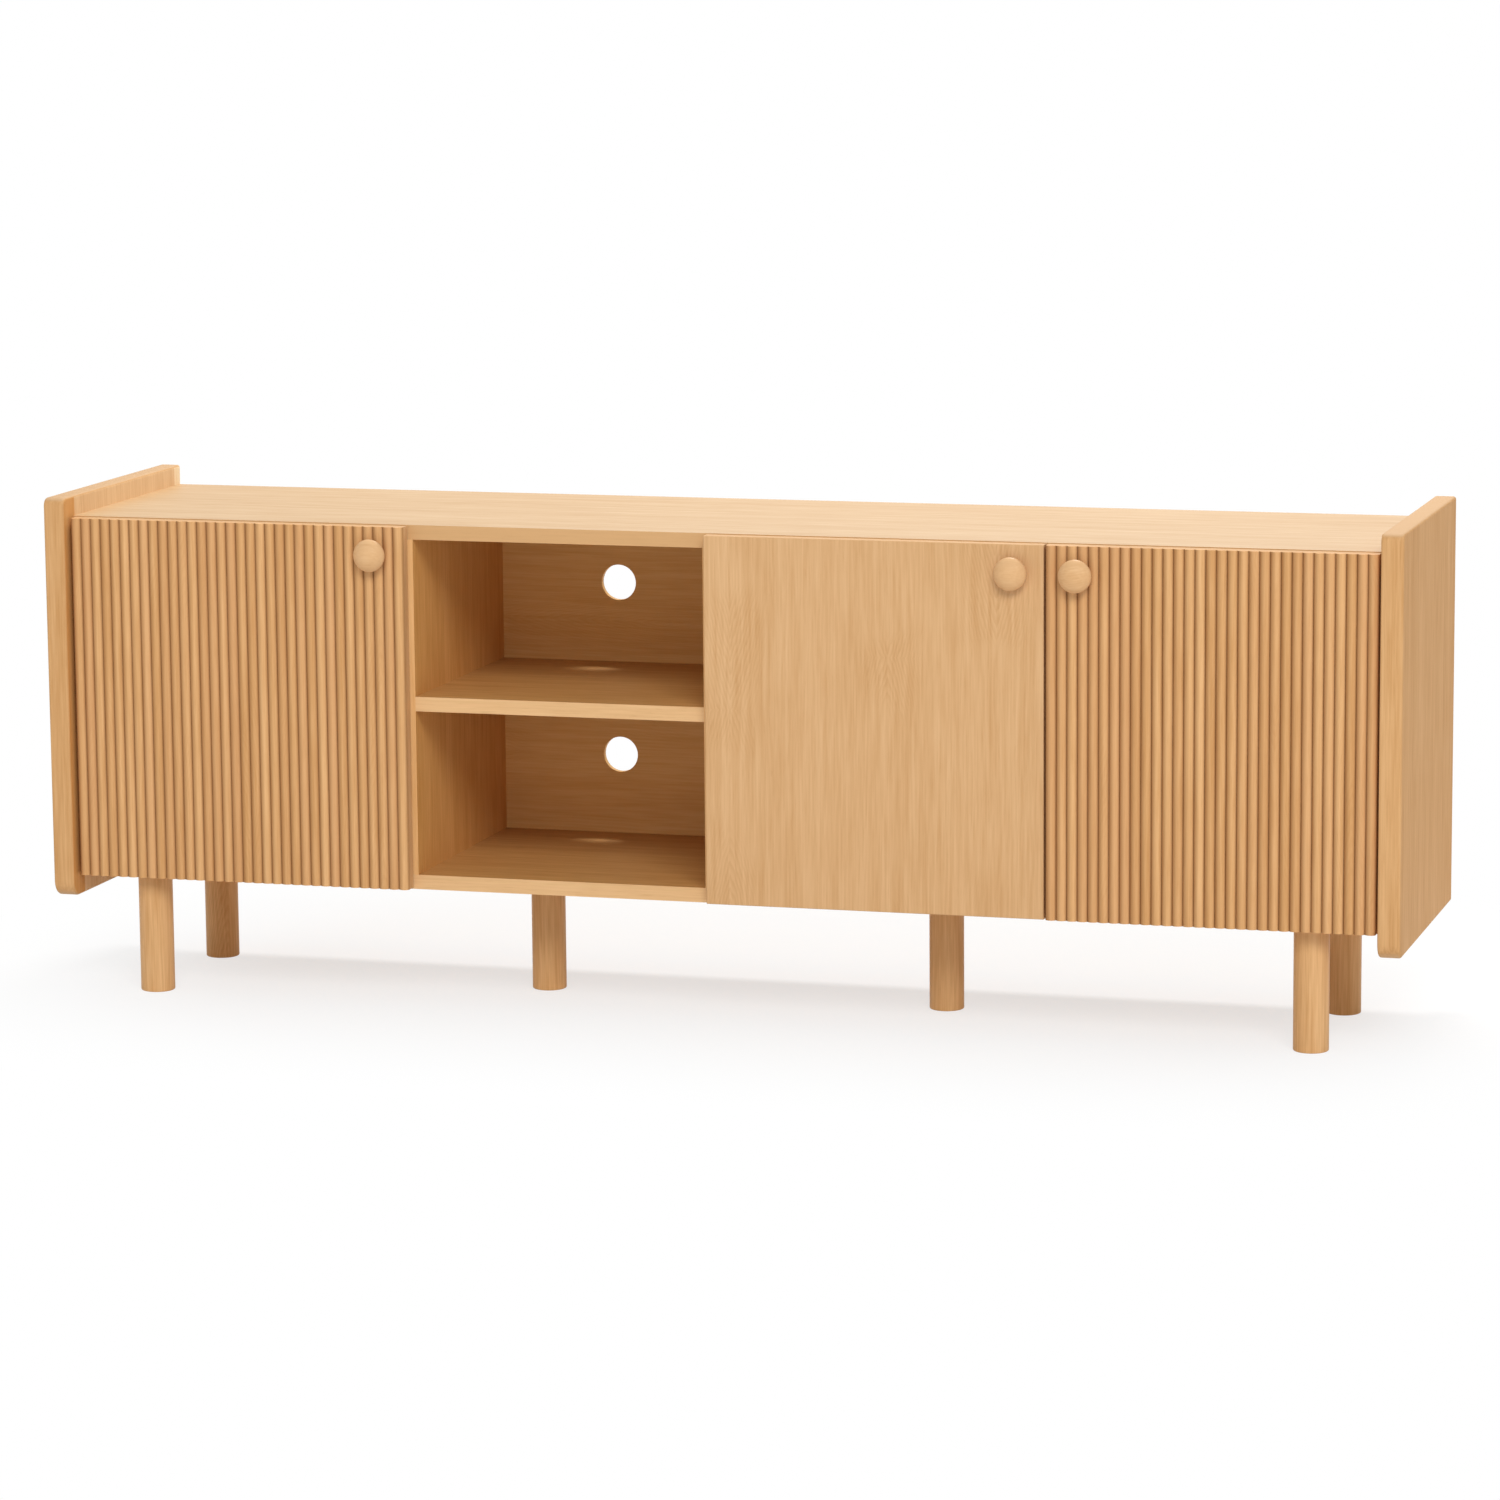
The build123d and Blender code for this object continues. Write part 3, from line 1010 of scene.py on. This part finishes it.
    @staticmethod
    def join(pieces: Sequence[bpy.types.Object], name: str) -> bpy.types.Object:
        """Joins pieces into one mesh.

        Args:
            pieces: The pieces.
            name: The name of the result.

        Returns:
            The joined piece.
        """
        Bench.take(pieces[0])
        for piece in pieces:
            piece.select_set(True)
        bpy.ops.object.join()
        pieces[0].name = pieces[0].data.name = name
        return pieces[0]

    @staticmethod
    def smooth(piece: bpy.types.Object, degrees: float) -> None:
        """Shades a piece smooth where its faces meet below an angle."""
        Bench.take(piece)
        bpy.ops.object.shade_smooth_by_angle(angle=math.radians(degrees))


@dataclass
class Wardrobe:
    """Puts finishes on pieces, each material made once."""

    made: dict[str, bpy.types.Material] = field(default_factory=dict)

    def wear(self, piece: bpy.types.Object, finish: Finish) -> None:
        """Puts a finish on a piece.

        Args:
            piece: The piece.
            finish: Its finish.
        """
        if finish.name not in self.made:
            self.made[finish.name] = finish.material()
        piece.data.materials.clear()
        piece.data.materials.append(self.made[finish.name])
        LOG.info("%s wears %s", piece.name, finish.name)

    def settle(
        self,
        piece: bpy.types.Object,
        finish: Finish,
        body: str,
        slot: Slot,
        replaced: Sequence[str] = (),
    ) -> None:
        """Dresses a new piece and ties it to its body.

        Args:
            piece: The piece.
            finish: Its finish.
            body: The body it moves with.
            slot: The record's slot of its finish; not used.
            replaced: CAD nodes that it stands for.
        """
        self.wear(piece, finish)
        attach(piece, body)
        if replaced:
            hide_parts(*replaced)


@dataclass
class Carcass:
    """Boards, dividers, backs and side panels of the cabinet."""

    nodes: Mapping[str, bpy.types.Object]
    wardrobe: Wardrobe
    top_round: float = 10.0 * MM
    top_steps: int = 10
    foot_round: float = 20.0 * MM
    foot_steps: int = 12
    edge_round: float = 3.5 * MM
    edge_steps: int = 5
    crease: float = 35.0
    near: float = 0.05 * MM
    front_lipping: float = 35.0 * MM
    rear_lipping: float = 19.0 * MM
    back_skin: float = 1.0 * MM

    def side_panel(self, node: str) -> None:
        """A thick side panel with rounded front corners and eased edges.

        Args:
            node: The CAD node that it stands for.
        """
        low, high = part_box(node)
        panel = Bench.block(node + "_shaped", low, high)
        near = self.near

        def at_corner(z: float) -> Callable[[Vector, Vector], bool]:
            """Test for the front edge along x at a height."""
            return lambda a, b: all(abs(p.y - low.y) < near and abs(p.z - z) < near for p in (a, b))

        def on_outline(a: Vector, b: Vector) -> bool:
            """Test for the outline of the two faces, apart from its rear edge."""
            return abs(a.x - b.x) < near and (a.y + b.y) / 2 < high.y - near

        Bench.round_edges(panel, self.foot_round, self.foot_steps, at_corner(low.z))
        Bench.round_edges(panel, self.top_round, self.top_steps, at_corner(high.z))
        Bench.round_edges(panel, self.edge_round, self.edge_steps, on_outline)
        Bench.smooth(panel, self.crease)
        finish = replace(
            SIDES,
            inside=min(abs(low.x), abs(high.x)),
            front=low.y + self.front_lipping,
            rear=high.y - self.rear_lipping,
        )
        self.wardrobe.settle(panel, finish, CABINET, Slot.SIDES, [node])

    def build(self) -> None:
        """Makes the side panels and dresses the boards."""
        for side in ("left", "right"):
            self.side_panel(f"side_panel_{side}")
        _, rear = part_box("back_panel_open")
        backs = replace(BACKS, rear=rear.y - self.back_skin)
        finishes = {
            "top_board": TOP,
            "bottom_board": BOARDS,
            "open_shelf": BOARDS,
            "loose_shelf_left": BOARDS,
            "loose_shelf_middle": BOARDS,
            "loose_shelf_right": BOARDS,
            "divider_left": UPRIGHTS,
            "divider_middle": UPRIGHTS,
            "divider_right": GAP_SHADED_UPRIGHTS,
            "back_panel_left": backs,
            "back_panel_open": backs,
            "back_panel_right": backs,
            "shelf_cleats": BOARDS,
            "loose_tenons": BEECH,
            "leg_bolts": ZINC,
            "door_bumpers": BUMPER,
        }
        for node, finish in finishes.items():
            self.wardrobe.wear(self.nodes[node], finish)


@dataclass
class Legs:
    """Six plain turned legs."""

    wardrobe: Wardrobe
    names: Sequence[str] = (
        "leg_front_left",
        "leg_front_right",
        "leg_rear_left",
        "leg_rear_right",
        "leg_middle_left",
        "leg_middle_right",
    )
    foot_round: float = 1.8 * MM
    foot_steps: int = 6
    shaft_steps: int = 4
    around: int = 72
    crease: float = 40.0

    @staticmethod
    def foot(name: str) -> Vector:
        """Middle of a leg's foot on the floor."""
        low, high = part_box(name)
        return Vector(((low.x + high.x) / 2, (low.y + high.y) / 2, low.z))

    def build(self) -> None:
        """Turns one leg and copies it to each place."""
        low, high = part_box(self.names[0])
        radius, tall, ease = (high.x - low.x) / 2, high.z - low.z, self.foot_round
        turns = [math.pi / 2 * step / self.foot_steps for step in range(self.foot_steps + 1)]
        profile = [(0.0, 0.0)]
        profile += [(radius - ease + ease * math.sin(a), ease - ease * math.cos(a)) for a in turns]
        profile += [(radius, tall * (step + 1) / self.shaft_steps) for step in range(self.shaft_steps)]
        profile.append((0.0, tall))
        first = self.foot(self.names[0])
        model = Bench.turn("leg_model", profile, first, Bench.UP, self.around)
        Bench.smooth(model, self.crease)
        for name in self.names:
            leg = Bench.copy(model, name + "_turned", Matrix.Translation(self.foot(name) - first))
            self.wardrobe.settle(leg, TURNED, CABINET, Slot.LEGS, [name])
        bpy.data.objects.remove(model)


@dataclass
class Screws:
    """Small pan-head screws with a cross recess.

    Widths are in shares of the head's radius, and the pan and the recess in shares of its height.
    """

    wardrobe: Wardrobe
    radius: float = 3.4 * MM
    height: float = 1.8 * MM
    shank: tuple[float, float] = (0.55, -0.6 * MM)
    pan: Sequence[tuple[float, float]] = ((1.0, 0.3), (0.92, 0.62), (0.68, 0.88), (0.3, 1.0))
    recess: tuple[float, float] = (0.55, 0.13)
    recess_floor: float = 0.45
    around: int = 24
    crease: float = 35.0
    spin: float = 0.7

    def model(self) -> bpy.types.Object:
        """One screw head that looks along -y, with its seat at the origin."""
        share, tip = self.shank
        profile = [(0.0, tip), (self.radius * share, tip), (self.radius * share, 0.0), (self.radius, 0.0)]
        profile += [(self.radius * wide, self.height * tall) for wide, tall in self.pan]
        profile.append((0.0, self.height))
        head = Bench.turn("screw_model", profile, Vector(), Bench.FORWARD, self.around)
        above, below = -2 * self.height, -self.recess_floor * self.height
        for wide, tall in (self.recess, self.recess[::-1]):
            x, z = self.radius * wide, self.radius * tall
            Bench.cut(head, Bench.block("recess", Vector((-x, above, -z)), Vector((x, below, z))))
        Bench.smooth(head, self.crease)
        return head

    def drive(
        self,
        name: str,
        seats: Sequence[Vector],
        turn: Matrix,
        finish: PlatedSteel,
        body: str,
        slot: Slot,
    ) -> None:
        """Sets a group of screws as one piece.

        Args:
            name: The group's name.
            seats: Where the heads sit.
            turn: Turns a head from -y to where it looks.
            finish: Finish of the heads.
            body: The body they move with.
            slot: The record's slot of that finish.
        """
        model = self.model()
        heads = []
        for number, seat in enumerate(seats):
            spin = Matrix.Rotation(self.spin * number, 4, "Y")
            heads.append(Bench.copy(model, f"{name}_{number}", Matrix.Translation(seat) @ turn @ spin))
        bpy.data.objects.remove(model)
        self.wardrobe.settle(Bench.join(heads, name), finish, body, slot)


@dataclass
class Door:
    """One hung door: slab, facing where it has one, knob, hinge parts and screws.

    The knob's neck and dome are in shares of its radius and height.
    """

    name: str
    nodes: Mapping[str, bpy.types.Object]
    wardrobe: Wardrobe
    reeds: int
    hinge_left: bool
    seed: float
    rise: float = 4.0 * MM
    near: float = 0.1 * MM
    reed_sides: int = 72
    reed_crease: float = 30.0
    neck: Sequence[tuple[float, float]] = (
        (0.0, 0.0),
        (0.45, 0.0),
        (0.45, 0.22),
        (0.50, 0.25),
        (0.95, 0.36),
        (1.0, 0.40),
    )
    dome: float = 0.48
    dome_steps: int = 10
    knob_around: int = 64
    knob_crease: float = 50.0
    cup_half: float = 30.0 * MM
    cup_wing: float = 24.0 * MM
    plate: float = 2.0 * MM
    plate_wing: float = 15.5 * MM

    def facing(self) -> None:
        """Half-round reeds side by side, one modelled and repeated."""
        node = f"{self.name}_reeded_facing"
        low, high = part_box(node)
        pitch = (high.x - low.x) / self.reeds
        radius = ((pitch / 2) ** 2 + self.rise**2) / (2 * self.rise)
        seat = low.y + self.rise
        Bench.clear()
        bpy.ops.mesh.primitive_cylinder_add(
            vertices=self.reed_sides,
            radius=radius,
            depth=high.z - low.z,
            location=(low.x + pitch / 2, low.y + radius, (low.z + high.z) / 2),
        )
        facing = Bench.settle(node + "_rounded")
        bpy.ops.object.mode_set(mode="EDIT")
        bpy.ops.mesh.select_all(action="SELECT")
        bpy.ops.mesh.bisect(plane_co=(0, seat, 0), plane_no=(0, 1, 0), use_fill=True, clear_outer=True)
        behind = seat - self.near
        Bench.pick_faces(facing, lambda middle, normal: normal.y > SQUARE[1] and middle.y > behind)
        bpy.ops.mesh.extrude_region_move(TRANSFORM_OT_translate={"value": (0, high.y - seat, 0)})
        Bench.take(facing)
        row = facing.modifiers.new("row", "ARRAY")
        row.count = self.reeds
        row.use_relative_offset = False
        row.use_constant_offset = True
        row.constant_offset_displace = (pitch, 0, 0)
        bpy.ops.object.modifier_apply(modifier=row.name)
        Bench.smooth(facing, self.reed_crease)
        finish = replace(
            REEDS,
            name=f"oak_{self.name}_reeds",
            seed=self.seed,
            left=low.x,
            pitch=pitch,
            crown=low.y,
            rise=self.rise,
        )
        self.wardrobe.settle(facing, finish, self.name, Slot.REEDS, [node])

    def knob(self) -> Vector:
        """A turned knob with a full dome.

        Returns:
            Middle of its seat on the door.
        """
        node = f"{self.name}_knob"
        low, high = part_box(node)
        seat = Vector(((low.x + high.x) / 2, high.y, (low.z + high.z) / 2))
        rim, tall = (high.x - low.x) / 2, high.y - low.y
        profile = [(rim * wide, tall * up) for wide, up in self.neck]
        rise = tall * self.dome
        radius = (rim**2 + rise**2) / (2 * rise)
        steps = self.dome_steps
        leans = [math.asin(rim / radius) * (1 - step / steps) for step in range(steps + 1)]
        profile += [(radius * math.sin(a), tall - radius + radius * math.cos(a)) for a in leans]
        knob = Bench.turn(node + "_turned", profile, seat, Bench.FORWARD, self.knob_around)
        Bench.smooth(knob, self.knob_crease)
        self.wardrobe.settle(knob, KNOBBED, self.name, Slot.KNOBS, [node])
        return seat

    def screws(self, seat: Vector) -> None:
        """Screws of the knob, the hinge cups and the mounting plates.

        Args:
            seat: Middle of the knob's seat.
        """
        inside = Matrix.Rotation(math.pi, 4, "Z")
        driver = Screws(self.wardrobe)
        _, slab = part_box(f"{self.name}_slab")
        knob_seats = [Vector((seat.x, slab.y, seat.z))]
        driver.drive(f"{self.name}_knob_screw", knob_seats, inside, ZINC, self.name, Slot.ZINC)
        low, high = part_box(f"{self.name}_hinge_cups")
        middle = (low.x + high.x) / 2
        rows = (low.z + self.cup_half, high.z - self.cup_half)
        cup_seats = [
            Vector((middle, high.y, row + way * self.cup_wing)) for row in rows for way in (-1, 1)
        ]
        driver.drive(f"{self.name}_cup_screws", cup_seats, inside, NICKEL, self.name, Slot.NICKEL)
        low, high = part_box(f"{self.name}_hinge_plates")
        face = low.x + self.plate if self.hinge_left else high.x - self.plate
        depth = (low.y + high.y) / 2
        plate_seats = [
            Vector((face, depth, row + way * self.plate_wing)) for row in rows for way in (-1, 1)
        ]
        quarter = math.pi / 2 if self.hinge_left else -math.pi / 2
        turn = Matrix.Rotation(quarter, 4, "Z")
        driver.drive(f"{self.name}_plate_screws", plate_seats, turn, NICKEL, CABINET, Slot.NICKEL)

    def build(self) -> None:
        """Makes and dresses the door's pieces."""
        self.wardrobe.wear(self.nodes[f"{self.name}_slab"], FRONTS)
        for part in ("cups", "arms", "plates"):
            self.wardrobe.wear(self.nodes[f"{self.name}_hinge_{part}"], NICKEL)
        if self.reeds:
            self.facing()
        self.screws(self.knob())


@dataclass
class BackScrews:
    """Screws that hold the back panels in their rebates."""

    wardrobe: Wardrobe
    panels: Sequence[str] = ("back_panel_left", "back_panel_open", "back_panel_right")
    margin: float = 4.5 * MM
    end: float = 40.0 * MM
    spacing: float = 200.0 * MM
    radius: float = 3.0 * MM
    height: float = 1.6 * MM

    def build(self) -> None:
        """Sets the screws along the upper and lower edge of each panel."""
        driver = Screws(self.wardrobe, self.radius, self.height)
        outside = Matrix.Rotation(math.pi, 4, "Z")
        for panel in self.panels:
            low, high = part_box(panel)
            count = max(2, round((high.x - low.x) / self.spacing))
            gap = (high.x - low.x - 2 * self.end) / (count - 1)
            seats = [
                Vector((low.x + self.end + gap * number, high.y, z))
                for number in range(count)
                for z in (low.z + self.margin, high.z - self.margin)
            ]
            driver.drive(f"{panel}_screws", seats, outside, ZINC, CABINET, Slot.ZINC)


@dataclass(frozen=True)
class Softbox:
    """A soft rectangular lamp."""

    name: str
    place: tuple[float, float, float]
    aim: tuple[float, float, float]
    size: tuple[float, float]
    power: float

    def build(self) -> None:
        """Hangs the lamp and aims it."""
        lamp = bpy.data.lights.new(self.name, "AREA")
        lamp.shape = "RECTANGLE"
        lamp.size, lamp.size_y = self.size
        lamp.energy = self.power
        hung = bpy.data.objects.new(self.name, lamp)
        hung.location = self.place
        hung.rotation_euler = (Vector(self.aim) - Vector(self.place)).to_track_quat("-Z", "Y").to_euler()
        hung.visible_camera = False
        bpy.context.scene.collection.objects.link(hung)
        LOG.info("lamp %s", self.name)


@dataclass(frozen=True)
class FloorPaint:
    """Pale matt paint with a faint mottle, seen as white away from the cabinet's shadow."""

    name: str = "floor_paint"
    light: Colour = tint(248, 248, 248)
    dark: Colour = tint(244, 244, 244)
    mottle: float = 6.0
    roughness: float = 0.7
    uneven: float = 0.1
    sheen: float = 0.1
    lift: float = 0.63
    fade: tuple[float, float] = (-0.60, 0.10)
    reach: tuple[float, float] = (0.60, 1.15)

    def material(self) -> bpy.types.Material:
        """The finished material."""
        graph = Graph(self.name)
        spot = graph.place()
        mottle = graph.cloud(spot, self.mottle, detail=3.0)
        paint = graph.value(
            "ShaderNodeBsdfPrincipled",
            {},
            {
                "Base Color": graph.mix(mottle, self.dark, self.light),
                "Roughness": mottle * self.uneven + self.roughness,
                "Specular IOR Level": self.sheen,
            },
        )
        away = (spot[Axis.X] * spot[Axis.X] + spot[Axis.Y] * spot[Axis.Y]).root()
        under = spot[Axis.Y].step(*self.fade) * (1.0 - away.step(*self.reach))
        lift = graph.seen() * (1.0 - under * (1.0 - self.lift))
        white = graph.value("ShaderNodeEmission", {}, {"Color": WHITE, "Strength": 1.0})
        graph.close(graph.value("ShaderNodeMixShader", {}, {0: lift, 1: paint, 2: white}))
        return graph.material


class Surround(Graph):
    """Node tree of the world."""

    def __init__(self, name: str) -> None:
        """Starts an empty world of that name."""
        world = bpy.data.worlds.new(name)
        world.use_nodes = True
        bpy.context.scene.world = world
        self.tree = world.node_tree
        self.tree.nodes.clear()

    def close(self, shader: Value) -> None:
        """Links a shader to the world's output."""
        self.node("ShaderNodeOutputWorld", {}, {0: shader})


@dataclass
class Studio:
    """Pale floor, white surround, soft lamps and the camera."""

    spot: tuple[float, float, float] = (1.8797, -6.4257, 1.4172)
    yaw: float = -16.247
    pitch: float = -9.367
    roll: float = -0.483
    lens: float = 131.46
    sensor: float = 36.0
    floor_size: float = 24.0
    ambient: float = 0.475
    sight: float = 200.0
    lamps: Sequence[Softbox] = (
        Softbox("rear", (0.2, 2.4, 3.7), (-0.1, 0.1, 0.4), (1.3, 0.6), 108.0),
        Softbox("front_right", (5.74, -13.8, 11.8), (0.0, 0.0, 0.35), (9.0, 6.9), 1745.0),
    )

    def camera(self) -> None:
        """Sets the camera where the photograph was taken from."""
        yaw, pitch, roll = (math.radians(a) for a in (self.yaw, self.pitch, self.roll))
        ahead = Vector(
            (math.sin(yaw) * math.cos(pitch), math.cos(yaw) * math.cos(pitch), math.sin(pitch))
        )
        level = Vector((math.cos(yaw), -math.sin(yaw), 0.0))
        up = level.cross(ahead)
        right = level * math.cos(roll) + up * math.sin(roll)
        above = up * math.cos(roll) - level * math.sin(roll)
        data = bpy.data.cameras.new("viewpoint")
        data.lens, data.sensor_width = self.lens, self.sensor
        data.clip_end = self.sight
        viewpoint = bpy.data.objects.new("viewpoint", data)
        frame = Matrix((right, above, -ahead)).transposed().to_4x4()
        viewpoint.matrix_world = Matrix.Translation(self.spot) @ frame
        bpy.context.scene.collection.objects.link(viewpoint)
        bpy.context.scene.camera = viewpoint

    def floor(self) -> None:
        """Lays and paints the floor."""
        Bench.clear()
        bpy.ops.mesh.primitive_plane_add(size=self.floor_size)
        laid = Bench.settle("floor")
        laid.data.materials.append(FloorPaint().material())

    def surround(self) -> None:
        """White surround, dimmer as a light than as it is seen."""
        graph = Surround("surround")
        seen = graph.seen()
        strength = seen + (1.0 - seen) * self.ambient
        graph.close(graph.value("ShaderNodeBackground", {}, {"Color": WHITE, "Strength": strength}))

    def build(self) -> None:
        """Sets up the studio."""
        self.floor()
        self.surround()
        for lamp in self.lamps:
            lamp.build()
        self.camera()
        bpy.context.scene.view_settings.view_transform = "Standard"


def main() -> None:
    """Builds the looks in order."""
    logging.basicConfig(level=logging.INFO, format="%(name)s: %(message)s")
    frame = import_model()
    nodes = frame["nodes"]
    wardrobe = Wardrobe()
    Carcass(nodes, wardrobe).build()
    Legs(wardrobe).build()
    Door("left_door", nodes, wardrobe, reeds=34, hinge_left=True, seed=41.0).build()
    Door("middle_door", nodes, wardrobe, reeds=0, hinge_left=True, seed=0.0).build()
    Door("right_door", nodes, wardrobe, reeds=31, hinge_left=False, seed=97.0).build()
    BackScrews(wardrobe).build()
    Studio().build()


if __name__ == "__main__":
    main()
